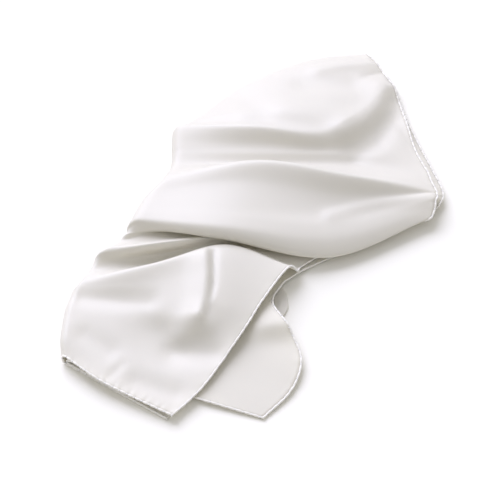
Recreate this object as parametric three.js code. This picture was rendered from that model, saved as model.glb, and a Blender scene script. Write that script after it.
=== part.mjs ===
// Folded square scarf: one square of silk satin with a narrow rolled hem.
// The square is folded in four along its length, then laid down loosely.
// Its near end points to the front left, its middle is pushed into a deep pleat,
// and its far half fans out to the back right in two soft waves.
// Millimetres, +X to the right, +Y to the back, +Z up.
// The origin is the middle of the box that the scarf lies in, on its underside.

import * as THREE from 'three';

const table = (columns, rows) => (
  rows.map((row) => Object.fromEntries(columns.map((column, k) => [column, row[k]]))));

// The sheet, with its layers lying a little apart
const SHEET_THICKNESS = 1;
const LAYER_PITCH = 2;
const BOTTOM_HEIGHT = SHEET_THICKNESS / 2;

// How far the outer left fold stands out, as a share of half its height
const LEFT_FOLD_BULGE = 0.8;

// The second layer lies over the lower two, and comes down past their right fold
const STEP_DOWN_START = 40;
const STEP_DOWN_LENGTH = 30;
const RIGHT_FOLD_STEPS = 40;

// Cells along the width of the square, stretch by stretch, from hem to hem
const CELLS = { top: 16, leftTurn: 4, bottom: 5, rightTurn: 3, third: 4, innerTurn: 3, second: 9 };

// Stations across the top layer, as shares of its width from the left
const STATIONS = [0, 1 / 3, 2 / 3, 1];

// Fold lines of the top layer, from the near end hem to the far fold.
// Each runs from the left to the right; cells is the count up to the next line.
const FOLDS = table(['fold', 'cells', 'left', 'leftMid', 'rightMid', 'right'], [
  ['end hem', 2, [-183, -179, 13], [-151, -204, 12], [-117, -223, 10], [-82, -241, 8]],
  ['tail low', 2, [-184, -160, 17], [-144, -174, 14], [-102, -195, 11], [-56, -212, 9]],
  ['tail middle', 2, [-182, -130, 18], [-136, -141, 17], [-87, -157, 12], [-33, -176, 13]],
  ['tail high', 2, [-179, -113, 19], [-131, -118, 20], [-78, -136, 23], [-13, -144, 18]],
  ['rise', 2, [-175, -101, 20], [-122, -102, 25], [-63, -106, 27], [2, -116, 21]],
  ['front ridge', 1, [-169, -91, 20], [-108, -81, 30], [-38, -60, 28], [29, -75, 20]],
  ['ridge back', 2, [-167, -86, 19], [-107, -77, 24], [-35, -54, 27], [35, -76, 14]],
  ['pocket floor', 1, [-164, -77, 16], [-103, -65, 12], [-32, -50, 21], [38, -66, 6.5]],
  ['pocket wall', 1, [-160, -69, 17], [-98, -53, 12], [-25, -43, 14], [46, -59, 6]],
  ['lip edge', 1, [-156, -63, 21], [-91, -54, 24], [-17, -33, 11], [60, -49, 6]],
  ['lip front', 1, [-154, -61, 24], [-88, -52, 29], [-14, -31, 11.5], [68, -45, 6]],
  ['lip top', 1, [-149, -56, 25.5], [-86, -49, 28], [-9, -26, 12], [84, -40, 6]],
  ['band', 1, [-143, -49, 21], [-81, -38, 20.5], [-2, -19, 12], [107, -28, 6]],
  ['crease under', 1, [-136, -41, 19], [-74, -24, 19], [7, -14, 11], [134, -12, 6]],
  ['back crease', 1, [-133, -38, 20.7], [-70, -20, 20.7], [11, -11, 12.7], [141, -8, 7.5]],
  ['crease over', 1, [-131, -36, 22.5], [-70, -22, 22.5], [15, -13, 14.5], [148, -8, 9]],
  ['return', 2, [-128, -34, 23.2], [-58, -32, 23], [36, -30, 14], [161, -8, 10]],
  ['edge under', 1, [-125, -32, 25.2], [-40, -41, 24], [63, -53, 9.5], [168, -7, 10.5]],
  ['low edge', 1, [-123, -30.5, 27.2], [-38, -47, 27], [69, -57, 11.5], [172, -5, 11.7]],
  ['edge over', 1, [-122, -29, 29.5], [-36, -48, 33], [70, -54, 15], [174, -1, 13]],
  ['panel brow', 1, [-120.5, -27, 33], [-34, -43, 38.5], [72, -43, 21], [176, 5, 14.5]],
  ['low panel', 1, [-118, -20, 34], [-32, -31, 39.5], [76, -25, 23.5], [177, 12, 16]],
  ['mid panel', 2, [-115, -11, 34], [-27, -15, 39], [81, -7, 22], [179, 17, 16.5]],
  ['under ridge', 2, [-107, 9, 34], [-15, 17, 40], [87, 11, 26], [179, 23, 16.5]],
  ['second ridge', 1, [-92, 30, 35], [-2, 41, 46], [90, 28, 38], [179, 28, 16]],
  ['ridge fall', 1, [-89, 40, 31], [-1, 48, 38], [92, 35, 33], [176, 38, 15]],
  ['valley', 1, [-85, 57, 24], [2, 59, 22], [96, 60, 18], [172, 58, 13]],
  ['valley side', 1, [-83, 74, 24], [1, 72, 24.5], [95, 75, 20], [163, 87, 11]],
  ['rise behind', 1, [-83, 86, 25], [-2, 83, 27], [88, 85, 22], [154, 143, 9.5]],
  ['first ridge', 1, [-82, 109, 27], [-5, 99, 37], [78, 98, 31], [146, 183, 11]],
  ['behind ridge', 1, [-80, 113, 24], [-5, 109, 34], [77, 109, 31], [142, 192, 11]],
  ['back slope', 2, [-77, 117, 22], [-5, 124, 33], [70, 134, 30], [136, 205, 11]],
  ['upper back', 2, [-73, 124, 18], [-7, 151, 25], [62, 176, 23], [128, 223, 10.5]],
  ['top edge', 1, [-69, 134, 12], [-12, 190, 11], [54, 225, 11], [119, 237, 10]],
  ['far turn', 1, [-68, 138, 9.5], [-10, 193, 8.5], [55, 228, 8.5], [119, 240, 8]],
  ['turn under', 1, [-67, 140, 7.5], [-10, 190, 6], [54, 225, 6], [118, 237, 5.5]],
  ['tucked end', 0, [-66, 142, 6.5], [-8, 182, 5], [53, 216, 5], [115, 229, 4.5]],
]);

// The lower layers, at some of the same fold lines.
// turn: the right fold between the bottom layer and the third.
// inset: how far inside the left fold the third layer turns back into the second.
// hem: where the second layer ends. heights: its left end, middle and hem.
const LOWER = table(['fold', 'turn', 'inset', 'hem', 'heights'], [
  ['end hem', [-88, -240], 10, [1, -240], [9, 6, 2]],
  ['tail low', [-52, -206], 14, [27, -211], [8.5, 5, 4]],
  ['tail middle', [-18, -173], 18, [37, -177], [8, 5, 8]],
  ['tail high', [2, -143], 34, [28, -150], [8, 5, 9]],
  ['rise', [22, -119], 50, [11, -117], [8, 5, 9]],
  ['front ridge', [24, -100], 56, [19, -90], [7, 5, 8]],
  ['pocket floor', [18, -84], 60, [31, -75], [6.5, 5, 4.5]],
  ['back crease', [-30, -22], 30, [140, -12], [6.5, 3, 3.5]],
  ['low panel', [-64, 11], 20, [182, 16], [5, 0.5, 8]],
  ['second ridge', [-55, 63], 20, [186, 37], [5, 0.5, 9]],
  ['valley', [-52, 85], 20, [178, 66], [5, 0.5, 7]],
  ['rise behind', [-49, 110], 20, [157, 142], [5, 0.5, 4]],
  ['first ridge', [-45, 128], 20, [149, 184], [5, 0.5, 3.5]],
  ['top edge', [-37, 160], 18, [117, 230], [4.5, 0.5, 1]],
  ['tucked end', [-38, 168], 17, [116, 236], [4.5, 0.5, 1]],
]);

// Soft troughs and swells of the top layer: a line of points in plan, how far the swell spreads
// to the left and to the right of someone who walks along it, how far it lifts the cloth,
// and the first and last fold line that it reaches.
const SWELLS = table(['name', 'line', 'spread', 'lift', 'first', 'last'], [
  ['finger fold', [[-59, -141], [-54, -122], [-52, -95], [-54, -66]], [14, 5], 7,
    'tail middle', 'front ridge'],
  ['step beside', [[-45, -123], [-42, -105], [-43, -63]], [3, 28], 3.5, 'tail middle', 'front ridge'],
  ['foot', [[-76, -147], [-58, -141]], [13, 10], 4, 'tail low', 'front ridge'],
  ['under foot', [[-82, -166], [-46, -168]], [12, 13], -3, 'end hem', 'tail high'],
  ['front hollow', [[-171, -112], [-109, -120]], [12, 10], -2.5, 'tail middle', 'front ridge'],
  ['end dent', [[-116, -206], [-81, -218]], [11, 11], -1.8, 'end hem', 'tail middle'],
  ['left dent', [[-166, -156], [-143, -172]], [11, 11], -1.8, 'end hem', 'tail high'],
  ['panel ridge', [[70, -13], [99, -1], [127, 7], [172, 16]], [8, 8], 2.5, 'panel brow', 'under ridge'],
  ['dome edge', [[88, 99], [110, 121], [126, 147], [134, 179]], [16, 9], 5, 'rise behind', 'upper back'],
  ['sweeping trough', [[95, 72], [120, 96], [140, 134], [148, 165]], [13, 12], -3.5,
    'valley', 'first ridge'],
  ['top streak', [[63, 205], [93, 214], [119, 217]], [9, 9], 2.5, 'back slope', 'top edge'],
  ['upper hollow', [[48, 177], [97, 181]], [15, 16], -3, 'first ridge', 'top edge'],
  ['dome', [[26, 128], [84, 119]], [20, 16], 2, 'first ridge', 'upper back'],
  ['upper left hollow', [[-22, 165], [2, 124]], [16, 16], -1.5, 'first ridge', 'top edge'],
]);

// The same for the second and the third layer.
const SECOND_SWELLS = table(['name', 'line', 'spread', 'lift', 'first', 'last'], [
  ['second brow', [[-25, -128], [24, -130]], [30, 20], 9, 'end hem', 'front ridge'],
]);
const THIRD_SWELLS = table(['name', 'line', 'spread', 'lift', 'first', 'last'], [
  ['near end', [[-183, -179], [-150, -200]], [24, 24], 3, 'end hem', 'tail low'],
]);
const SWELL_FADE = 0.5;

const lerp = (a, b, share) => a.map((value, axis) => value + (b[axis] - value) * share);
const distance = (a, b) => Math.hypot(...a.map((value, axis) => value - b[axis]));
const clampShare = (value) => Math.min(1, Math.max(0, value));
const smooth = (share) => share * share * (3 - 2 * share);

function heading(from, to) {
  const length = distance(from, to);
  return from.map((value, axis) => (to[axis] - value) / length);
}

// The slope of a smooth curve at one of its own points, from the points beside it
function slopeAt(knots, points, k) {
  const rise = (a) => points[a].map((value, axis) => (
    (points[a + 1][axis] - value) / (knots[a + 1] - knots[a])));
  if (k === 0) return rise(0);
  if (k === knots.length - 1) return rise(k - 1);
  const before = knots[k] - knots[k - 1];
  const after = knots[k + 1] - knots[k];
  const first = rise(k - 1);
  const second = rise(k);
  return first.map((value, axis) => (value * after + second[axis] * before) / (before + after));
}

function spanOf(knots, at) {
  let span = 0;
  while (span < knots.length - 2 && knots[span + 1] < at) span += 1;
  return span;
}

// A smooth curve through points that stand at uneven knots
function curveAt(knots, points, at) {
  const span = spanOf(knots, at);
  const step = knots[span + 1] - knots[span];
  const u = (at - knots[span]) / step;
  const start = slopeAt(knots, points, span);
  const end = slopeAt(knots, points, span + 1);
  const near = smooth(1 - u);
  const far = smooth(u);
  const leave = u * (1 - u) * (1 - u) * step;
  const arrive = u * u * (u - 1) * step;
  return points[span].map((value, axis) => (
    near * value + far * points[span + 1][axis] + leave * start[axis] + arrive * end[axis]));
}

const stationsOf = (row) => [row.left, row.leftMid, row.rightMid, row.right];
const indexOfFold = (name) => FOLDS.findIndex((row) => row.fold === name);

// Knots along the scarf: the root of the distance between lines keeps tight folds from looping
function foldKnots() {
  const knots = [0];
  for (let k = 1; k < FOLDS.length; k += 1) {
    const before = stationsOf(FOLDS[k - 1]);
    const gaps = stationsOf(FOLDS[k]).map((point, s) => distance(point, before[s]));
    const mean = gaps.reduce((sum, gap) => sum + gap, 0) / gaps.length;
    knots.push(knots[k - 1] + Math.sqrt(mean));
  }
  return knots;
}

const KNOTS = foldKnots();
const LAST_KNOT = KNOTS[KNOTS.length - 1];
const LOWER_KNOTS = LOWER.map((row) => KNOTS[indexOfFold(row.fold)]);
const lowerAt = (key, at) => curveAt(LOWER_KNOTS, LOWER.map((row) => [row[key]].flat()), at);

// The right fold of the two lowest layers, seen from above
const RIGHT_FOLD = Array.from({ length: RIGHT_FOLD_STEPS + 1 }, (_, k) => (
  lowerAt('turn', LAST_KNOT * k / RIGHT_FOLD_STEPS)));

// How far a point lies from a line of points in plan; negative on the left of someone who walks it
function pastLine(line, point) {
  let nearest = Infinity;
  for (let k = 0; k < line.length - 1; k += 1) {
    const [start, end] = [line[k], line[k + 1]];
    const [dx, dy] = heading(start, end);
    const [x, y] = [point[0] - start[0], point[1] - start[1]];
    const along = clampShare((x * dx + y * dy) / distance(start, end));
    const away = distance(point, lerp(start, end, along));
    if (away < Math.abs(nearest)) nearest = away * Math.sign(x * dy - y * dx);
  }
  return nearest;
}

// Fold lines as points at even steps from the left to the right
const FOLD_LINES = FOLDS.map((row) => (
  Array.from({ length: CELLS.top + 1 }, (_, k) => curveAt(STATIONS, stationsOf(row), k / CELLS.top))));

function foldNumberAt(at) {
  const span = spanOf(KNOTS, at);
  return span + (at - KNOTS[span]) / (KNOTS[span + 1] - KNOTS[span]);
}

// A point with its height changed by the swells and troughs that pass it
function lifted([x, y, z], swells, foldNumber) {
  return [x, y, swells.reduce((height, swell) => {
    const opens = clampShare(foldNumber - indexOfFold(swell.first) + SWELL_FADE);
    const closes = clampShare(indexOfFold(swell.last) - foldNumber + SWELL_FADE);
    const past = pastLine(swell.line, [x, y]);
    const spread = swell.spread[past > 0 ? 1 : 0];
    return height + swell.lift * smooth(opens * closes) * Math.exp(-((past / spread) ** 2));
  }, z)];
}

// The top layer's cross line at one place along the scarf, from the left to the right
function topLine(at) {
  return FOLD_LINES[0].map((_, k) => (
    lifted(curveAt(KNOTS, FOLD_LINES.map((line) => line[k]), at), SWELLS, foldNumberAt(at))));
}

// The half round of a fold between two layers, without its first and last points
function turn(count, start, end, startOut, endOut, bulge) {
  const points = [];
  const radius = Math.abs(end[2] - start[2]) / 2;
  for (let k = 1; k < count; k += 1) {
    const share = k / count;
    const angle = Math.PI * share;
    const out = lerp(startOut, endOut, share);
    const scale = radius * bulge * Math.sin(angle) / Math.hypot(...out);
    const [x, y] = lerp(start, end, share);
    const z = (start[2] + end[2]) / 2 + (start[2] - end[2]) / 2 * Math.cos(angle);
    points.push([x + out[0] * scale, y + out[1] * scale, z]);
  }
  return points;
}

function layer(count, start, end, height) {
  return Array.from({ length: count + 1 }, (_, k) => {
    const share = k / count;
    const [x, y] = lerp(start, end, share);
    return [x, y, height(share, [x, y])];
  });
}

// A smooth height through a layer's left end, middle and hem
function throughThree([left, middle, hem], share) {
  const rest = 1 - share;
  return left * rest * (rest - share) + middle * 4 * share * rest + hem * share * (share - rest);
}

// One line across the whole square, from the top layer's hem to the second layer's hem
function crossLine(at) {
  const top = topLine(at);
  const flat = ([x, y]) => [x, y];
  const left = flat(top[0]);
  const right = lowerAt('turn', at);
  const hem = lowerAt('hem', at);
  const [inset] = lowerAt('inset', at);
  const heights = lowerAt('heights', at);
  const toRight = heading(left, right);
  const toLeft = toRight.map((value) => -value);
  const topToLeft = heading(flat(top[1]), flat(top[0]));
  const width = distance(left, right);
  const thirdHeight = BOTTOM_HEIGHT + LAYER_PITCH;
  const inner = lerp(left, right, inset / width);

  const bottom = layer(CELLS.bottom, left, right, () => BOTTOM_HEIGHT);
  const third = layer(CELLS.third, right, inner, () => thirdHeight)
    .map((point) => lifted(point, THIRD_SWELLS, foldNumberAt(at)));
  const second = layer(CELLS.second, inner, hem, (share, point) => {
    const over = clampShare((STEP_DOWN_START - pastLine(RIGHT_FOLD, point)) / STEP_DOWN_LENGTH);
    const least = BOTTOM_HEIGHT + 2 * LAYER_PITCH * smooth(over);
    return Math.max(throughThree(heights, share), least);
  }).map((point) => lifted(point, SECOND_SWELLS, foldNumberAt(at)));
  const last = (line) => line[line.length - 1];
  return [
    ...[...top].reverse(),
    ...turn(CELLS.leftTurn, top[0], bottom[0], topToLeft, toLeft, LEFT_FOLD_BULGE),
    ...bottom,
    ...turn(CELLS.rightTurn, last(bottom), third[0], toRight, toRight, 1),
    ...third,
    ...turn(CELLS.innerTurn, last(third), second[0], toLeft, toLeft, 1),
    ...second,
  ];
}

// All cross lines, evenly spaced between each pair of fold lines
function sheetLines() {
  const lines = [];
  FOLDS.forEach((row, k) => {
    for (let c = 0; c < row.cells; c += 1) {
      lines.push(crossLine(KNOTS[k] + (KNOTS[k + 1] - KNOTS[k]) * c / row.cells));
    }
  });
  lines.push(crossLine(LAST_KNOT));
  return lines;
}

// Moves the lines so that the box around them is centred on the origin in plan
function centred(lines) {
  const box = new THREE.Box3().setFromPoints(lines.flat().map((point) => new THREE.Vector3(...point)));
  const middle = box.getCenter(new THREE.Vector3());
  return lines.map((line) => line.map(([x, y, z]) => new THREE.Vector3(x - middle.x, y - middle.y, z)));
}

// The sheet's upward side at each point, before it is folded over
function sheetNormals(lines) {
  const rows = lines.length;
  const columns = lines[0].length;
  return lines.map((line, i) => line.map((_, j) => {
    const along = lines[Math.min(i + 1, rows - 1)][j].clone().sub(lines[Math.max(i - 1, 0)][j]);
    const across = line[Math.min(j + 1, columns - 1)].clone().sub(line[Math.max(j - 1, 0)]);
    return along.cross(across).normalize();
  }));
}

// A closed solid: the sheet's two faces, half its thickness to each side, and the rim between them
function thickSheet(lines) {
  const rows = lines.length;
  const columns = lines[0].length;
  const normals = sheetNormals(lines);
  const positions = [];
  [SHEET_THICKNESS / 2, -SHEET_THICKNESS / 2].forEach((offset) => {
    lines.forEach((line, i) => line.forEach((point, j) => {
      const placed = point.clone().addScaledVector(normals[i][j], offset);
      positions.push(placed.x, placed.y, Math.max(placed.z, 0));
    }));
  });
  const upper = (i, j) => i * columns + j;
  const under = (i, j) => rows * columns + upper(i, j);
  const faces = [];
  const quad = (a, b, c, d) => faces.push(a, b, c, a, c, d);
  for (let i = 0; i < rows - 1; i += 1) {
    for (let j = 0; j < columns - 1; j += 1) {
      quad(upper(i, j), upper(i + 1, j), upper(i + 1, j + 1), upper(i, j + 1));
      quad(under(i, j), under(i, j + 1), under(i + 1, j + 1), under(i + 1, j));
    }
  }
  for (let j = 0; j < columns - 1; j += 1) {
    const far = rows - 1;
    quad(upper(0, j), upper(0, j + 1), under(0, j + 1), under(0, j));
    quad(upper(far, j + 1), upper(far, j), under(far, j), under(far, j + 1));
  }
  for (let i = 0; i < rows - 1; i += 1) {
    const far = columns - 1;
    quad(upper(i + 1, 0), upper(i, 0), under(i, 0), under(i + 1, 0));
    quad(upper(i, far), upper(i + 1, far), under(i + 1, far), under(i, far));
  }
  const geometry = new THREE.BufferGeometry();
  geometry.setAttribute('position', new THREE.Float32BufferAttribute(positions, 3));
  geometry.setIndex(faces);
  geometry.computeVertexNormals();
  return geometry;
}

const silk = new THREE.MeshStandardMaterial({ color: 0xf1f0f3, roughness: 0.45, metalness: 0 });
const scarf = new THREE.Mesh(thickSheet(centred(sheetLines())), silk);
scarf.name = 'scarf';

const model = new THREE.Group();
model.add(scarf);

export default model;
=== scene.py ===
"""Folded square scarf: its detailed look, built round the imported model.

The scarf is one square of white silk satin with a rolled, whip-stitched hem.
Millimetres in the tables, metres in the scene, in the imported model's own frame.
"""

import math

import bmesh
import bpy
import numpy as np
from bpy.props import FloatProperty, FloatVectorProperty, IntProperty, PointerProperty, StringProperty
from bpy.types import Operator, Panel, PropertyGroup
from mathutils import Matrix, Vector


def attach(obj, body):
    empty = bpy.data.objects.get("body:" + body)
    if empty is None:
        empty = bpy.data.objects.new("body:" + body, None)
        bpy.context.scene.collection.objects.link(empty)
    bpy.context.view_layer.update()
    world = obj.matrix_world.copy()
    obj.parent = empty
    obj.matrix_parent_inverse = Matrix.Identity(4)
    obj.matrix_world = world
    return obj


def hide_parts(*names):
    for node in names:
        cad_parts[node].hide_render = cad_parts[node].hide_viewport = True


bl_info = {
    "name": "Folded Square Scarf",
    "version": (1, 0, 0),
    "blender": (4, 5, 0),
    "location": "View3D > Sidebar > Scarf",
    "description": "Builds a silk square scarf, folded in four and laid down loosely",
    "category": "Add Mesh",
}

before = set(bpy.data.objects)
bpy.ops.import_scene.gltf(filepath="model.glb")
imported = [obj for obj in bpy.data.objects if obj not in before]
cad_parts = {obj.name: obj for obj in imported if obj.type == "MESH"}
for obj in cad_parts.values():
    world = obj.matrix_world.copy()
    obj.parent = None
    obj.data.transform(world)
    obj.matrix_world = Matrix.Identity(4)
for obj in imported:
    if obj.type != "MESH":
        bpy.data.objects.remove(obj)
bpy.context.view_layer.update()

MM = 0.001
UP = (0.0, 0.0, 1.0)

# Keeps divisions away from nought
SMALLEST = 1e-9


# Shape of the folded cloth


def table(columns, rows):
    """Rows with named columns."""
    return [dict(zip(columns, row)) for row in rows]


# The middle of the scarf's own box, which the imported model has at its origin
BOX_MIDDLE = np.array([-1.73, -0.5])

# The layers lie a little apart, the lowest on the table
LAYER_PITCH = 2.0
BOTTOM_HEIGHT = 0.3

# How far the outer left fold stands out, as a share of half its height
LEFT_FOLD_BULGE = 0.8

# The second layer lies over the lower two, and comes down past their right fold
STEP_DOWN_START = 40.0
STEP_DOWN_LENGTH = 30.0
RIGHT_FOLD_STEPS = 40

# Cells along the width of the square, stretch by stretch, from hem to hem
CELLS = {
    "top": 72, "left turn": 8, "bottom": 18, "right turn": 6,
    "third": 16, "inner turn": 6, "second": 50,
}

# Length of a cell along the scarf
CELL_LENGTH = 2.5

STATIONS = np.array([0.0, 1 / 3, 2 / 3, 1.0])

# Fold lines of the top layer, from the near end hem to the far fold, each from the left to the right
FOLDS = table(("fold", "left", "left mid", "right mid", "right"), [
    ("end hem", (-183, -179, 13), (-151, -204, 12), (-117, -223, 10), (-82, -241, 8)),
    ("tail low", (-184, -160, 17), (-144, -174, 14), (-102, -195, 11), (-56, -212, 9)),
    ("tail middle", (-182, -130, 18), (-136, -141, 17), (-87, -157, 12), (-33, -176, 13)),
    ("tail high", (-179, -113, 19), (-131, -118, 20), (-78, -136, 23), (-13, -144, 18)),
    ("rise", (-175, -101, 20), (-122, -102, 25), (-63, -106, 27), (2, -116, 21)),
    ("front ridge", (-169, -91, 20), (-108, -81, 30), (-38, -60, 28), (29, -75, 20)),
    ("ridge back", (-167, -86, 19), (-107, -77, 24), (-35, -54, 27), (35, -76, 14)),
    ("pocket floor", (-164, -77, 16), (-103, -65, 12), (-32, -50, 21), (38, -66, 6.5)),
    ("pocket wall", (-160, -69, 17), (-98, -53, 12), (-25, -43, 14), (46, -59, 6)),
    ("lip edge", (-156, -63, 21), (-91, -54, 24), (-17, -33, 11), (60, -49, 6)),
    ("lip front", (-154, -61, 24), (-88, -52, 29), (-14, -31, 11.5), (68, -45, 6)),
    ("lip top", (-149, -56, 25.5), (-86, -49, 28), (-9, -26, 12), (84, -40, 6)),
    ("band", (-143, -49, 21), (-81, -38, 20.5), (-2, -19, 12), (107, -28, 6)),
    ("crease under", (-136, -41, 19), (-74, -24, 19), (7, -14, 11), (134, -12, 6)),
    ("back crease", (-133, -38, 20.7), (-70, -20, 20.7), (11, -11, 12.7), (141, -8, 7.5)),
    ("crease over", (-131, -36, 22.5), (-70, -22, 22.5), (15, -13, 14.5), (148, -8, 9)),
    ("return", (-128, -34, 23.2), (-58, -32, 23), (36, -30, 14), (161, -8, 10)),
    ("edge under", (-125, -32, 25.2), (-40, -41, 24), (63, -53, 9.5), (168, -7, 10.5)),
    ("low edge", (-123, -30.5, 27.2), (-38, -47, 27), (69, -57, 11.5), (172, -5, 11.7)),
    ("edge over", (-122, -29, 29.5), (-36, -48, 33), (70, -54, 15), (174, -1, 13)),
    ("panel brow", (-120.5, -27, 33), (-34, -43, 38.5), (72, -43, 21), (176, 5, 14.5)),
    ("low panel", (-118, -20, 34), (-32, -31, 39.5), (76, -25, 23.5), (177, 12, 16)),
    ("mid panel", (-115, -11, 34), (-27, -15, 39), (81, -7, 22), (179, 17, 16.5)),
    ("under ridge", (-107, 9, 34), (-15, 17, 40), (87, 11, 26), (179, 23, 16.5)),
    ("second ridge", (-92, 30, 35), (-2, 41, 46), (90, 28, 38), (179, 28, 16)),
    ("ridge fall", (-89, 40, 31), (-1, 48, 38), (92, 35, 33), (176, 38, 15)),
    ("valley", (-85, 57, 24), (2, 59, 22), (96, 60, 18), (172, 58, 13)),
    ("valley side", (-83, 74, 24), (1, 72, 24.5), (95, 75, 20), (163, 87, 11)),
    ("rise behind", (-83, 86, 25), (-2, 83, 27), (88, 85, 22), (154, 143, 9.5)),
    ("first ridge", (-82, 109, 27), (-5, 99, 37), (78, 98, 31), (146, 183, 11)),
    ("behind ridge", (-80, 113, 24), (-5, 109, 34), (77, 109, 31), (142, 192, 11)),
    ("back slope", (-77, 117, 22), (-5, 124, 33), (70, 134, 30), (136, 205, 11)),
    ("upper back", (-73, 124, 18), (-7, 151, 25), (62, 176, 23), (128, 223, 10.5)),
    ("top edge", (-69, 134, 12), (-12, 190, 11), (54, 225, 11), (119, 237, 10)),
    ("far turn", (-68, 138, 9.5), (-10, 193, 8.5), (55, 228, 8.5), (119, 240, 8)),
    ("turn under", (-67, 140, 7.5), (-10, 190, 6), (54, 225, 6), (118, 237, 5.5)),
    ("tucked end", (-66, 142, 6.5), (-8, 182, 5), (53, 216, 5), (115, 229, 4.5)),
])

# The lower layers, at some of the same fold lines.
# turn: the right fold between the bottom layer and the third.
# inset: how far inside the left fold the third layer turns back into the second.
# hem: where the second layer ends. heights: its left end, middle and hem.
LOWER = table(("fold", "turn", "inset", "hem", "heights"), [
    ("end hem", (-88, -240), 3, (1, -240), (9, 6, 2)),
    ("tail low", (-52, -206), 10, (27, -211), (8.5, 5, 4)),
    ("tail middle", (-18, -173), 18, (37, -177), (8, 5, 8)),
    ("tail high", (2, -143), 34, (28, -150), (8, 5, 9)),
    ("rise", (22, -119), 50, (11, -117), (8, 5, 9)),
    ("front ridge", (24, -100), 56, (19, -90), (7, 5, 8)),
    ("pocket floor", (18, -84), 60, (31, -75), (6.5, 5, 4.5)),
    ("back crease", (-30, -22), 30, (140, -12), (6.5, 3, 3.5)),
    ("low panel", (-64, 11), 20, (182, 16), (5, 0.5, 8)),
    ("second ridge", (-55, 63), 20, (186, 37), (5, 0.5, 9)),
    ("valley", (-52, 85), 20, (178, 66), (5, 0.5, 7)),
    ("rise behind", (-49, 110), 20, (157, 142), (5, 0.5, 4)),
    ("first ridge", (-45, 128), 20, (149, 184), (5, 0.5, 3.5)),
    ("top edge", (-37, 160), 18, (117, 230), (4.5, 0.5, 1)),
    ("tucked end", (-38, 168), 17, (116, 236), (4.5, 0.5, 1)),
])

# Soft troughs and swells of the top layer: a line of points in plan, how far the swell spreads
# to the left and to the right of someone who walks along it, how far it lifts the cloth,
# and the first and last fold line that it reaches
SWELLS = table(("name", "line", "spread", "lift", "first", "last"), [
    ("finger fold", ((-59, -141), (-54, -122), (-52, -95), (-54, -66)), (14, 5), 7,
     "tail middle", "front ridge"),
    ("step beside", ((-45, -123), (-42, -105), (-43, -63)), (3, 28), 3.5,
     "tail middle", "front ridge"),
    ("foot", ((-76, -155), (-56, -149)), (14, 9), 5, "tail low", "front ridge"),
    ("under foot", ((-82, -171), (-46, -173)), (11, 13), -3, "end hem", "tail high"),
    ("front hollow", ((-171, -112), (-109, -120)), (12, 10), -2.5, "tail middle", "front ridge"),
    ("end dent", ((-116, -206), (-81, -218)), (11, 11), -1.8, "end hem", "tail middle"),
    ("left dent", ((-166, -156), (-143, -172)), (11, 11), -1.8, "end hem", "tail high"),
    ("panel ridge", ((70, -13), (99, -1), (127, 7), (172, 16)), (8, 8), 2.5,
     "panel brow", "under ridge"),
    ("dome edge", ((88, 99), (110, 121), (126, 147), (134, 179)), (16, 9), 5,
     "rise behind", "upper back"),
    ("sweeping trough", ((95, 72), (120, 96), (140, 134), (148, 165)), (13, 12), -3.5,
     "valley", "first ridge"),
    ("top streak", ((63, 205), (93, 214), (119, 217)), (9, 9), 2.5, "back slope", "top edge"),
    ("upper hollow", ((48, 177), (97, 181)), (15, 16), -3, "first ridge", "top edge"),
    ("dome", ((26, 128), (84, 119)), (20, 16), 2, "first ridge", "upper back"),
    ("upper left hollow", ((-22, 165), (2, 124)), (16, 16), -1.5, "first ridge", "top edge"),
])

# The same for the second layer
SECOND_SWELLS = table(("name", "line", "spread", "lift", "first", "last"), [
    ("second brow", ((5, -142), (28, -140)), (30, 12), 8, "end hem", "front ridge"),
])

# The same for the third layer
THIRD_SWELLS = table(("name", "line", "spread", "lift", "first", "last"), [
    ("near end", ((-183, -179), (-150, -200)), (24, 24), 3, "end hem", "tail low"),
])

# Share of the way to the next fold line in which a swell fades out, past its first and last
SWELL_FADE = 0.5

# Finer creases of the top layer, in the same columns
CREASES = table(("name", "line", "spread", "lift", "first", "last"), [
    ("finger crease", ((-47, -116), (-46, -95), (-46, -64)), (4, 3), -2.2, "rise", "front ridge"),
    ("upper left crease", ((-66, 117), (-30, 119)), (4, 5), -1.2, "first ridge", "upper back"),
    ("corner crease", ((115, 197), (134, 206)), (4, 4), -1.2, "behind ridge", "top edge"),
    ("far hem crease", ((150, 120), (161, 96)), (5, 5), -1.0, "valley", "rise behind"),
    ("end hem crease", ((-140, -200), (-129, -186)), (5, 5), -0.8, "end hem", "tail low"),
])

# The hem draws the cloth into small puckers: their height, their two lengths along the hem,
# the share of the shorter ones, and how far they reach into the cloth
PUCKER_HEIGHT = 0.22
PUCKER_LENGTHS = (17.0, 11.0)
SHORT_PUCKERS = 0.6
PUCKER_REACH = 5.0

# Rings of the hem's roll from one stitch to the next, and rings and sides of a stitch
POINTS_PER_STITCH = 5
STITCH_RINGS = 7
STITCH_SIDES = 5

# A stitch wraps the roll's outer side between these angles, and slants by this share of the pitch
STITCH_FROM = math.radians(-50)
STITCH_TO = math.radians(230)
STITCH_SLANT = 0.35


def smooth(share):
    """Eases a share of the way in and out."""
    return share * share * (3 - 2 * share)


def curve(knots, points, at):
    """A smooth curve through points that stand at uneven knots, at many places at once."""
    knots = np.asarray(knots, float)
    points = np.asarray(points, float)
    at = np.asarray(at, float)
    spread = (-1,) + (1,) * (points.ndim - 1)
    gaps = np.diff(knots).reshape(spread)
    rises = np.diff(points, axis=0) / gaps
    slopes = np.empty_like(points)
    slopes[0], slopes[-1] = rises[0], rises[-1]
    slopes[1:-1] = (rises[:-1] * gaps[1:] + rises[1:] * gaps[:-1]) / (gaps[:-1] + gaps[1:])
    span = np.clip(np.searchsorted(knots, at) - 1, 0, len(knots) - 2)
    step = (knots[span + 1] - knots[span]).reshape(spread)
    u = ((at - knots[span]) / (knots[span + 1] - knots[span])).reshape(spread)
    return (
        smooth(1 - u) * points[span]
        + smooth(u) * points[span + 1]
        + u * (1 - u) ** 2 * step * slopes[span]
        + u * u * (u - 1) * step * slopes[span + 1]
    )


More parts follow.
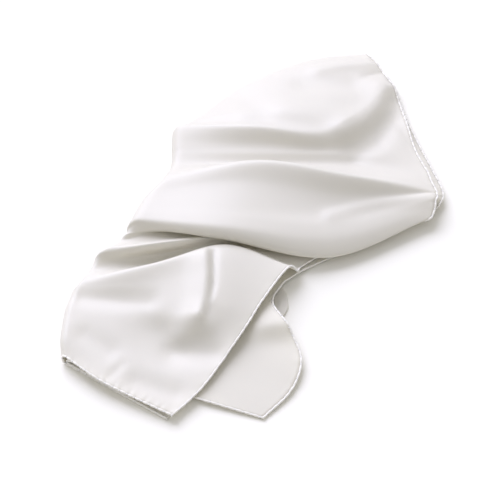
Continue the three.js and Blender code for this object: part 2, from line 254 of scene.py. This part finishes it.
def stations_of(row):
    return [row["left"], row["left mid"], row["right mid"], row["right"]]


def number_of_fold(name):
    return next(k for k, row in enumerate(FOLDS) if row["fold"] == name)


FOLD_POINTS = np.array([stations_of(row) for row in FOLDS], float)
FOLD_GAPS = np.linalg.norm(np.diff(FOLD_POINTS, axis=0), axis=2).mean(axis=1)

# Knots along the scarf: the root of the distance between lines keeps tight folds from looping
KNOTS = np.concatenate([[0.0], np.cumsum(np.sqrt(FOLD_GAPS))])
LOWER_KNOTS = [KNOTS[number_of_fold(row["fold"])] for row in LOWER]


def lower_at(key, at):
    """A column of the lower layers' table, at places along the scarf."""
    values = np.array([row[key] for row in LOWER], float).reshape(len(LOWER), -1)
    return curve(LOWER_KNOTS, values, at)


def distance_to_line(points, line):
    """How far points lie from a line of points in plan, and on which side.

    The side runs from -1 on the left to 1 on the right, and turns evenly round the line's ends.
    """
    nearest = np.full(points.shape[:-1], np.inf)
    side = np.zeros(points.shape[:-1])
    for start, end in zip(line[:-1], line[1:]):
        run = end - start
        length = np.hypot(*run)
        offset = points - start
        along = np.clip(offset @ run / length**2, 0, 1)
        away = np.linalg.norm(offset - along[..., None] * run, axis=-1)
        closer = away < nearest
        nearest = np.where(closer, away, nearest)
        to_right = (offset[..., 0] * run[1] - offset[..., 1] * run[0]) / length
        side = np.where(closer, to_right / np.maximum(away, SMALLEST), side)
    return nearest, side


RIGHT_FOLD = lower_at("turn", np.linspace(0, KNOTS[-1], RIGHT_FOLD_STEPS + 1))


def cloth_rows():
    """Places along the scarf for its rows of points, a cell apart."""
    places = []
    for k, gap in enumerate(FOLD_GAPS):
        count = max(2, round(gap / CELL_LENGTH))
        places.extend(KNOTS[k] + (KNOTS[k + 1] - KNOTS[k]) * np.arange(count) / count)
    return np.array([*places, KNOTS[-1]])


def fold_numbers(at):
    """Places along the scarf, counted in fold lines."""
    span = np.clip(np.searchsorted(KNOTS, at) - 1, 0, len(KNOTS) - 2)
    return span + (at - KNOTS[span]) / (KNOTS[span + 1] - KNOTS[span])


def reach(row, numbers):
    """How much of a swell or crease reaches each row of the cloth."""
    opens = np.clip(numbers - number_of_fold(row["first"]) + SWELL_FADE, 0, 1)
    closes = np.clip(number_of_fold(row["last"]) - numbers + SWELL_FADE, 0, 1)
    return smooth(opens * closes)


def lift_over(points, swells, at):
    """Lifts rows of the cloth where swells pass, and lowers them where troughs do."""
    numbers = fold_numbers(at)
    for swell in swells:
        away, side = distance_to_line(points[..., :2], np.array(swell["line"], float))
        left, right = swell["spread"]
        spread = left + (right - left) * (1 + side) / 2
        lift = swell["lift"] * np.exp(-((away / spread) ** 2))
        points[..., 2] += reach(swell, numbers)[:, None] * lift


def top_layer(at):
    """The top layer as rows of points from its left fold to its hem."""
    shares = np.linspace(0, 1, CELLS["top"] + 1)
    lines = curve(STATIONS, FOLD_POINTS.transpose(1, 0, 2), shares).transpose(1, 0, 2)
    top = curve(KNOTS, lines, at)
    lift_over(top, SWELLS, at)
    lift_over(top, CREASES, at)
    return top


def unit(vectors):
    return vectors / np.linalg.norm(vectors, axis=-1, keepdims=True)


def turn(count, start, end, start_out, end_out, bulge):
    """The half round of a fold between two layers, without its first and last points."""
    share = (np.arange(1, count) / count)[None, :, None]
    angle = math.pi * share
    radius = np.abs(end[:, 2] - start[:, 2])[:, None, None] / 2
    out = unit(start_out[:, None] * (1 - share) + end_out[:, None] * share)
    plan = start[:, None, :2] * (1 - share) + end[:, None, :2] * share
    plan = plan + out * radius * bulge * np.sin(angle)
    middle = (start[:, 2] + end[:, 2])[:, None, None] / 2
    half = (start[:, 2] - end[:, 2])[:, None, None] / 2
    return np.concatenate([plan, middle + half * np.cos(angle)], axis=2)


def layer(count, start, end, height):
    """A layer between two lines in plan; height gives z from the share of the way and the plan."""
    share = np.linspace(0, 1, count + 1)[None, :]
    plan = start[:, None] * (1 - share[..., None]) + end[:, None] * share[..., None]
    z = np.broadcast_to(height(share, plan), plan.shape[:2])
    return np.concatenate([plan, z[..., None]], axis=2)


def cloth_points():
    """The whole square as rows of points, from the top layer's hem to the second layer's hem."""
    at = cloth_rows()
    top = top_layer(at)
    left, right = top[:, 0, :2], lower_at("turn", at)
    hem, heights = lower_at("hem", at), lower_at("heights", at)
    to_right = unit(right - left)
    inner = left + to_right * lower_at("inset", at)
    third_height = BOTTOM_HEIGHT + LAYER_PITCH

    def second_height(share, plan):
        rest = 1 - share
        free = (
            heights[:, :1] * rest * (rest - share)
            + heights[:, 1:2] * 4 * share * rest
            + heights[:, 2:] * share * (share - rest)
        )
        away, side = distance_to_line(plan, RIGHT_FOLD)
        over = np.clip((STEP_DOWN_START - away * side) / STEP_DOWN_LENGTH, 0, 1)
        return np.maximum(free, BOTTOM_HEIGHT + 2 * LAYER_PITCH * smooth(over))

    bottom = layer(CELLS["bottom"], left, right, lambda share, plan: BOTTOM_HEIGHT)
    third = layer(CELLS["third"], right, inner, lambda share, plan: third_height)
    lift_over(third, THIRD_SWELLS, at)
    second = layer(CELLS["second"], inner, hem, second_height)
    lift_over(second, SECOND_SWELLS, at)
    over_left = unit(top[:, 0, :2] - top[:, 1, :2])
    points = np.concatenate([
        top[:, ::-1],
        turn(CELLS["left turn"], top[:, 0], bottom[:, 0], over_left, -to_right, LEFT_FOLD_BULGE),
        bottom,
        turn(CELLS["right turn"], bottom[:, -1], third[:, 0], to_right, to_right, 1),
        third,
        turn(CELLS["inner turn"], third[:, -1], second[:, 0], -to_right, -to_right, 1),
        second,
    ], axis=1)
    points[..., :2] -= BOX_MIDDLE
    return pucker(points) * MM


def cloth_sides(points):
    """The upward side of the cloth at each point, before it is folded over."""
    along = np.gradient(points, axis=0)
    across = np.gradient(points, axis=1)
    return unit(np.cross(along, across))


def pucker(points):
    """Ripples the cloth along its four hems, where the stitches draw it in."""
    sides = cloth_sides(points)
    across, along = lengths_along(points, 1)[None, :], lengths_along(points, 0)[:, None]
    long_wave, short_wave = (2 * math.pi / length for length in PUCKER_LENGTHS)
    height = np.zeros(points.shape[:2])
    for away, walked in (
        (across, along), (across[0, -1] - across, along),
        (along, across), (along[-1, 0] - along, across),
    ):
        ripple = np.sin(walked * long_wave) + SHORT_PUCKERS * np.sin(walked * short_wave)
        height += PUCKER_HEIGHT * ripple * np.exp(-((away / PUCKER_REACH) ** 2))
    lowest = points[..., 2:] < 2 * LAYER_PITCH
    return points + np.where(lowest, 0, height[..., None] * sides)


def lengths_along(points, axis):
    """Mean distance walked over the cloth along one axis, from its first line."""
    steps = np.linalg.norm(np.diff(points, axis=axis), axis=2).mean(axis=1 - axis)
    return np.concatenate([[0.0], np.cumsum(steps)])


def hem_path(step):
    """The edge of the cloth as evenly spaced points, once round the square."""
    points = cloth_points()
    edge = np.concatenate([points[0, :-1], points[:-1, -1], points[-1, :0:-1], points[:0:-1, 0]])
    closed = np.vstack([edge, edge[:1]])
    walked = np.concatenate([[0.0], np.cumsum(np.linalg.norm(np.diff(closed, axis=0), axis=1))])
    count = round(walked[-1] / step)
    places = np.linspace(0, walked[-1], count, endpoint=False)
    return np.stack([np.interp(places, walked, closed[:, axis]) for axis in range(3)], axis=1)


def hem_points(settings):
    """The middle of the hem's roll, with a pinched point at each stitch, and its radii."""
    path = hem_path(settings.stitch_pitch / POINTS_PER_STITCH)
    count = len(path) // POINTS_PER_STITCH * POINTS_PER_STITCH
    path = path[:count]
    path[:, 2] = np.maximum(path[:, 2], settings.radius)
    phase = 2 * math.pi * np.arange(count) / POINTS_PER_STITCH
    radii = settings.radius * (1 - settings.pinch * (0.5 + 0.5 * np.cos(phase)) ** 2)
    return path, radii


# Mesh tools

# Points nearer than this, in metres, are one point of a seam
SEAM_GAP = 1e-7


def new_piece(name, bm, materials):
    """A finished piece at the origin, from a bmesh whose vertices are in place."""
    mesh = bpy.data.meshes.new(name)
    for face in bm.faces:
        face.smooth = True
    bm.to_mesh(mesh)
    bm.free()
    piece = bpy.data.objects.new(name, mesh)
    bpy.context.scene.collection.objects.link(piece)
    for material in materials:
        mesh.materials.append(material)
    return piece


def add_grid(bm, points, uvs=None):
    """Adds a grid of faces whose vertices lie on rows of points."""
    rows, columns = points.shape[:2]
    made = bmesh.ops.create_grid(bm, x_segments=columns - 1, y_segments=rows - 1, size=1)["verts"]
    places = {}
    for vertex in made:
        row = round((vertex.co.y + 1) / 2 * (rows - 1))
        column = round((vertex.co.x + 1) / 2 * (columns - 1))
        places[vertex] = (row, column)
        vertex.co = points[row, column]
    if uvs is not None:
        uv_layer = bm.loops.layers.uv.verify()
        for face in bm.faces:
            for loop in face.loops:
                loop[uv_layer].uv = uvs[places[loop.vert]]


def directions(path, closed):
    """Ahead, aside and over at each point of a path."""
    if closed:
        ahead, behind = np.roll(path, -1, axis=0), np.roll(path, 1, axis=0)
    else:
        ahead = np.vstack([path[1:], path[-1:]])
        behind = np.vstack([path[:1], path[:-1]])
    heading = unit(ahead - behind)
    aside = unit(np.cross(heading, UP) + (SMALLEST, 0.0, 0.0))
    return heading, aside, np.cross(aside, heading)


def tube_points(path, radii, sides, closed):
    """Rings of points round a path; a closed path ends on its first ring again."""
    _, aside, over = directions(path, closed)
    angles = np.linspace(0, 2 * math.pi, sides + 1)[None, :, None]
    ring = np.cos(angles) * aside[:, None] + np.sin(angles) * over[:, None]
    rings = path[:, None] + ring * radii[:, None, None]
    return np.concatenate([rings, rings[:1]]) if closed else rings


def close_tube(bm):
    """Joins the seams of tubes, fills their ends and turns their faces outwards."""
    bmesh.ops.remove_doubles(bm, verts=bm.verts, dist=SEAM_GAP)
    bmesh.ops.holes_fill(bm, edges=bm.edges)
    bmesh.ops.recalc_face_normals(bm, faces=bm.faces)


# Materials

# Threads a metre across and along the cloth, as drawn: 1 mm wide and 12 mm long
THREAD_SCALE = (1000, 80, 1)

# Roughness and sheen of the cloth's two sides and of its thick roll, which lets less light through
FACE_FINISH = (0.42, 0.25)
BACK_FINISH = (0.6, 0.15)
ROLL_FINISH = (0.45, 0.25)
ROLL_THROUGH = 0.1


def linear(colour):
    """An sRGB hex colour as linear RGBA."""
    values = [int(colour[k:k + 2], 16) / 255 for k in (1, 3, 5)]
    return [*(v / 12.92 if v <= 0.04045 else ((v + 0.055) / 1.055) ** 2.4 for v in values), 1.0]


def add_node(tree, kind, links=None, values=None, **settings):
    """Adds a node, sets its properties and socket values, and links sockets into it."""
    node = tree.nodes.new(kind)
    for name, value in settings.items():
        setattr(node, name, value)
    for name, value in (values or {}).items():
        node.inputs[name].default_value = value
    for name, source in (links or {}).items():
        tree.links.new(source, node.inputs[name])
    return node


def new_material(name, values):
    """A material with one Principled shader; returns it, its tree and its shader."""
    material = bpy.data.materials.new(name)
    material.use_nodes = True
    tree = material.node_tree
    shader = tree.nodes["Principled BSDF"]
    for socket, value in values.items():
        shader.inputs[socket].default_value = value
    return material, tree, shader


def silk_satin(name, colour, roughness, sheen, through):
    """Silk satin, woven: long floats of warp thread that lie side by side.

    They give a broad soft gloss, and the thin cloth lets some light through,
    which turns warm inside the folds.
    """
    material, tree, shader = new_material(name, {
        "Base Color": linear(colour),
        "Roughness": roughness,
        "IOR": 1.5,
        "Sheen Weight": sheen,
        "Sheen Roughness": 0.4,
    })
    place = add_node(tree, "ShaderNodeUVMap", uv_map="UVMap")
    # Threads are about 0.03 mm apart; they are drawn far coarser so that they show
    threads = add_node(
        tree, "ShaderNodeMapping", {"Vector": place.outputs["UV"]}, {"Scale": THREAD_SCALE}
    )
    slubs = add_node(
        tree, "ShaderNodeTexNoise", {"Vector": threads.outputs["Vector"]},
        {"Scale": 1.0, "Detail": 2.0, "Roughness": 0.5},
    )
    weave = add_node(
        tree, "ShaderNodeBump", {"Height": slubs.outputs["Fac"]},
        {"Strength": 0.12, "Distance": 0.0003},
    )
    tree.links.new(weave.outputs["Normal"], shader.inputs["Normal"])
    glow = add_node(tree, "ShaderNodeBsdfTranslucent", values={"Color": linear(colour)})
    cloth = add_node(tree, "ShaderNodeMixShader", values={0: through})
    tree.links.new(shader.outputs["BSDF"], cloth.inputs[1])
    tree.links.new(glow.outputs["BSDF"], cloth.inputs[2])
    tree.links.new(cloth.outputs["Shader"], tree.nodes["Material Output"].inputs["Surface"])
    return material


def silk_thread(name, colour):
    """Silk sewing thread, twisted from two plies: fine slanted ridges with a soft gloss."""
    material, tree, shader = new_material(name, {
        "Base Color": linear(colour),
        "Roughness": 0.35,
        "IOR": 1.5,
        "Sheen Weight": 0.2,
    })
    place = add_node(tree, "ShaderNodeTexCoord")
    # Plies cross the thread about every 0.4 mm
    plies = add_node(
        tree, "ShaderNodeTexWave", {"Vector": place.outputs["Object"]},
        {"Scale": 800.0, "Distortion": 0.5},
    )
    twist = add_node(
        tree, "ShaderNodeBump", {"Height": plies.outputs["Fac"]},
        {"Strength": 0.3, "Distance": 0.0001},
    )
    tree.links.new(twist.outputs["Normal"], shader.inputs["Normal"])
    return material


def painted_board(name, colour):
    """Matt white painted board, rolled on: even, with no gloss."""
    material, _, _ = new_material(name, {
        "Base Color": linear(colour),
        "Roughness": 0.9,
        "Specular IOR Level": 0.1,
    })
    return material


# Settings


class ScarfClothSettings(PropertyGroup):
    side: FloatProperty(
        name="Side", description="Length of each side of the square, laid flat",
        default=0.55, min=0.1, unit="LENGTH",
    )
    thickness: FloatProperty(
        name="Thickness", description="Thickness of the cloth",
        default=0.0004, min=0.0001, precision=4, unit="LENGTH",
    )
    face_colour: StringProperty(
        name="Face Colour", description="Colour of the satin side, as an sRGB hex value",
        default="#F5F2E7",
    )
    back_colour: StringProperty(
        name="Back Colour", description="Colour of the duller side, as an sRGB hex value",
        default="#F3F0E4",
    )
    through: FloatProperty(
        name="Light Through", description="Share of the light that passes through the cloth",
        default=0.35, min=0, max=1, subtype="FACTOR",
    )


class ScarfHemSettings(PropertyGroup):
    radius: FloatProperty(
        name="Roll Radius", description="Half the thickness of the rolled hem",
        default=0.0012, min=0.0002, precision=4, unit="LENGTH",
    )
    stitch_pitch: FloatProperty(
        name="Stitch Pitch", description="Distance from one whip stitch to the next",
        default=0.008, min=0.002, precision=4, unit="LENGTH",
    )
    pinch: FloatProperty(
        name="Pinch", description="How far a stitch draws the roll in, as a share of its radius",
        default=0.45, min=0, max=0.8, subtype="FACTOR",
    )
    thread_radius: FloatProperty(
        name="Thread Radius", description="Half the thickness of the sewing thread",
        default=0.00035, min=0.0001, precision=5, unit="LENGTH",
    )
    thread_colour: StringProperty(
        name="Thread Colour", description="Colour of the sewing thread, as an sRGB hex value",
        default="#FAF9F6",
    )
    sides: IntProperty(
        name="Sides", description="Faces round the roll",
        default=8, min=4,
    )


class ScarfStageSettings(PropertyGroup):
    floor_size: FloatProperty(
        name="Floor Size", description="Length of each side of the floor",
        default=8.0, min=1, unit="LENGTH",
    )
    floor_colour: StringProperty(
        name="Floor Colour", description="Colour of the floor, as an sRGB hex value",
        default="#F3F1E6",
    )
    camera_distance: FloatProperty(
        name="Camera Distance", description="From the camera to the point it looks at",
        default=1.5278, min=0.2, unit="LENGTH",
    )
    camera_elevation: FloatProperty(
        name="Camera Elevation", description="Angle of the camera above the floor",
        default=math.radians(50), subtype="ANGLE",
    )
    camera_target: FloatVectorProperty(
        name="Camera Target", description="Point on the floor that the camera looks at",
        default=(-0.0093, -0.0375, 0.0), subtype="TRANSLATION", size=3,
    )
    lens: FloatProperty(
        name="Lens", description="Focal length of the camera, in millimetres",
        default=110.0, min=10,
    )
    key_strength: FloatProperty(
        name="Key Light", description="Strength of the broad soft light behind, in watts a square metre",
        default=2.95, min=0,
    )
    key_spread: FloatProperty(
        name="Key Spread", description="Angle that the broad soft light fills, seen from the scarf",
        default=math.radians(50), subtype="ANGLE",
    )
    key_from: FloatVectorProperty(
        name="Key From", description="Direction from the scarf to the broad soft light",
        default=(-0.3, 0.66, 0.6), subtype="DIRECTION", size=3,
    )
    key_colour: FloatVectorProperty(
        name="Key Colour", description="Tint of the broad soft light",
        default=(0.95, 0.962, 1.2), subtype="COLOR", size=3, min=0, max=2,
    )
    room_colour: FloatVectorProperty(
        name="Room Colour", description="Tint of the even light of the room",
        default=(0.985, 0.98, 1.04), subtype="COLOR", size=3, min=0, max=2,
    )
    room_strength: FloatProperty(
        name="Room Light", description="Strength of the even light of the room",
        default=0.64, min=0,
    )


class ScarfSettings(PropertyGroup):
    cloth: PointerProperty(type=ScarfClothSettings)
    hem: PointerProperty(type=ScarfHemSettings)
    stage: PointerProperty(type=ScarfStageSettings)


# Operators


class SCARF_OT_cloth(Operator):
    """Add the silk square, folded in four and laid down"""

    bl_idname = "scarf.cloth"
    bl_label = "Silk Square"

    def execute(self, context):
        settings = context.scene.scarf.cloth
        points = cloth_points()
        across, along = lengths_along(points, 1), lengths_along(points, 0)
        across *= settings.side / across[-1]
        along *= settings.side / along[-1]
        uvs = np.stack(np.meshgrid(across, along), axis=-1)
        bm = bmesh.new()
        add_grid(bm, points, uvs)
        bmesh.ops.reverse_faces(bm, faces=bm.faces)
        face = silk_satin("silk_satin_face", settings.face_colour, *FACE_FINISH, settings.through)
        back = silk_satin("silk_satin_back", settings.back_colour, *BACK_FINISH, settings.through)
        cloth = new_piece("silk_square", bm, [face, back])
        shell = cloth.modifiers.new("thickness", "SOLIDIFY")
        shell.thickness = settings.thickness
        shell.offset = 0
        shell.material_offset = 1
        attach(cloth, "root")
        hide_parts("scarf")
        return {"FINISHED"}


class SCARF_OT_hem(Operator):
    """Add the rolled hem round the square's edge"""

    bl_idname = "scarf.hem"
    bl_label = "Rolled Hem"

    def execute(self, context):
        settings = context.scene.scarf
        path, radii = hem_points(settings.hem)
        bm = bmesh.new()
        add_grid(bm, tube_points(path, radii, settings.hem.sides, closed=True))
        close_tube(bm)
        roll = silk_satin(
            "silk_satin_roll", settings.cloth.face_colour, *ROLL_FINISH, ROLL_THROUGH
        )
        hem = new_piece("rolled_hem", bm, [roll])
        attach(hem, "root")
        return {"FINISHED"}


class SCARF_OT_stitches(Operator):
    """Add the whip stitches that hold the rolled hem"""

    bl_idname = "scarf.stitches"
    bl_label = "Whip Stitches"

    def execute(self, context):
        settings = context.scene.scarf.hem
        path, radii = hem_points(settings)
        heading, aside, over = directions(path, closed=True)
        share = np.linspace(0, 1, STITCH_RINGS)[:, None]
        angles = STITCH_FROM + (STITCH_TO - STITCH_FROM) * share
        slant = settings.stitch_pitch * STITCH_SLANT * (share - 0.5)
        radii_along = np.full(STITCH_RINGS, settings.thread_radius)
        bm = bmesh.new()
        for k in range(0, len(path), POINTS_PER_STITCH):
            reach_out = radii[k] + settings.thread_radius / 2
            bend = path[k] + heading[k] * slant
            bend = bend + (np.cos(angles) * aside[k] + np.sin(angles) * over[k]) * reach_out
            bend[:, 2] = np.maximum(bend[:, 2], settings.thread_radius)
            add_grid(bm, tube_points(bend, radii_along, STITCH_SIDES, closed=False))
        close_tube(bm)
        thread = silk_thread("silk_thread_twisted", settings.thread_colour)
        stitches = new_piece("hem_stitches", bm, [thread])
        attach(stitches, "root")
        return {"FINISHED"}


class SCARF_OT_stage(Operator):
    """Add the pale floor, the studio light and the camera"""

    bl_idname = "scarf.stage"
    bl_label = "Stage"

    def execute(self, context):
        settings = context.scene.scarf.stage
        scene = context.scene

        bm = bmesh.new()
        bmesh.ops.create_grid(bm, x_segments=1, y_segments=1, size=settings.floor_size / 2)
        floor = new_piece("floor", bm, [painted_board("matt_white_board", settings.floor_colour)])

        world = bpy.data.worlds.new("room")
        world.use_nodes = True
        background = world.node_tree.nodes["Background"]
        background.inputs["Color"].default_value = (*settings.room_colour, 1.0)
        background.inputs["Strength"].default_value = settings.room_strength
        scene.world = world

        key = bpy.data.lights.new("key", "SUN")
        key.angle = settings.key_spread
        key.energy = settings.key_strength
        key.color = settings.key_colour
        key_object = bpy.data.objects.new("key", key)
        key_object.rotation_euler = Vector(settings.key_from).to_track_quat("Z", "Y").to_euler()
        scene.collection.objects.link(key_object)

        camera = bpy.data.cameras.new("camera")
        camera.lens = settings.lens
        camera.sensor_width = 36
        camera.clip_start, camera.clip_end = 0.05, 50
        camera_object = bpy.data.objects.new("camera", camera)
        elevation = settings.camera_elevation
        back = Vector((0, -math.cos(elevation), math.sin(elevation)))
        camera_object.location = Vector(settings.camera_target) + back * settings.camera_distance
        camera_object.rotation_euler = (-back).to_track_quat("-Z", "Y").to_euler()
        scene.collection.objects.link(camera_object)
        scene.camera = camera_object

        scene.view_settings.view_transform = "Standard"
        return {"FINISHED"}


class SCARF_PT_panel(Panel):
    """Lists the scarf's pieces and their settings"""

    bl_idname = "SCARF_PT_panel"
    bl_label = "Folded Square Scarf"
    bl_space_type = "VIEW_3D"
    bl_region_type = "UI"
    bl_category = "Scarf"

    def draw(self, context):
        settings = context.scene.scarf
        for operator, group in (
            (SCARF_OT_cloth, settings.cloth),
            (SCARF_OT_hem, settings.hem),
            (SCARF_OT_stitches, settings.hem),
            (SCARF_OT_stage, settings.stage),
        ):
            box = self.layout.box()
            box.operator(operator.bl_idname)
            for name in group.__annotations__:
                box.prop(group, name)


CLASSES = (
    ScarfClothSettings,
    ScarfHemSettings,
    ScarfStageSettings,
    ScarfSettings,
    SCARF_OT_cloth,
    SCARF_OT_hem,
    SCARF_OT_stitches,
    SCARF_OT_stage,
    SCARF_PT_panel,
)


def register():
    for cls in CLASSES:
        bpy.utils.register_class(cls)
    bpy.types.Scene.scarf = PointerProperty(type=ScarfSettings)


def unregister():
    del bpy.types.Scene.scarf
    for cls in reversed(CLASSES):
        bpy.utils.unregister_class(cls)


def main():
    register()
    bpy.ops.scarf.cloth()
    bpy.ops.scarf.hem()
    bpy.ops.scarf.stitches()
    bpy.ops.scarf.stage()


if __name__ == "__main__":
    main()
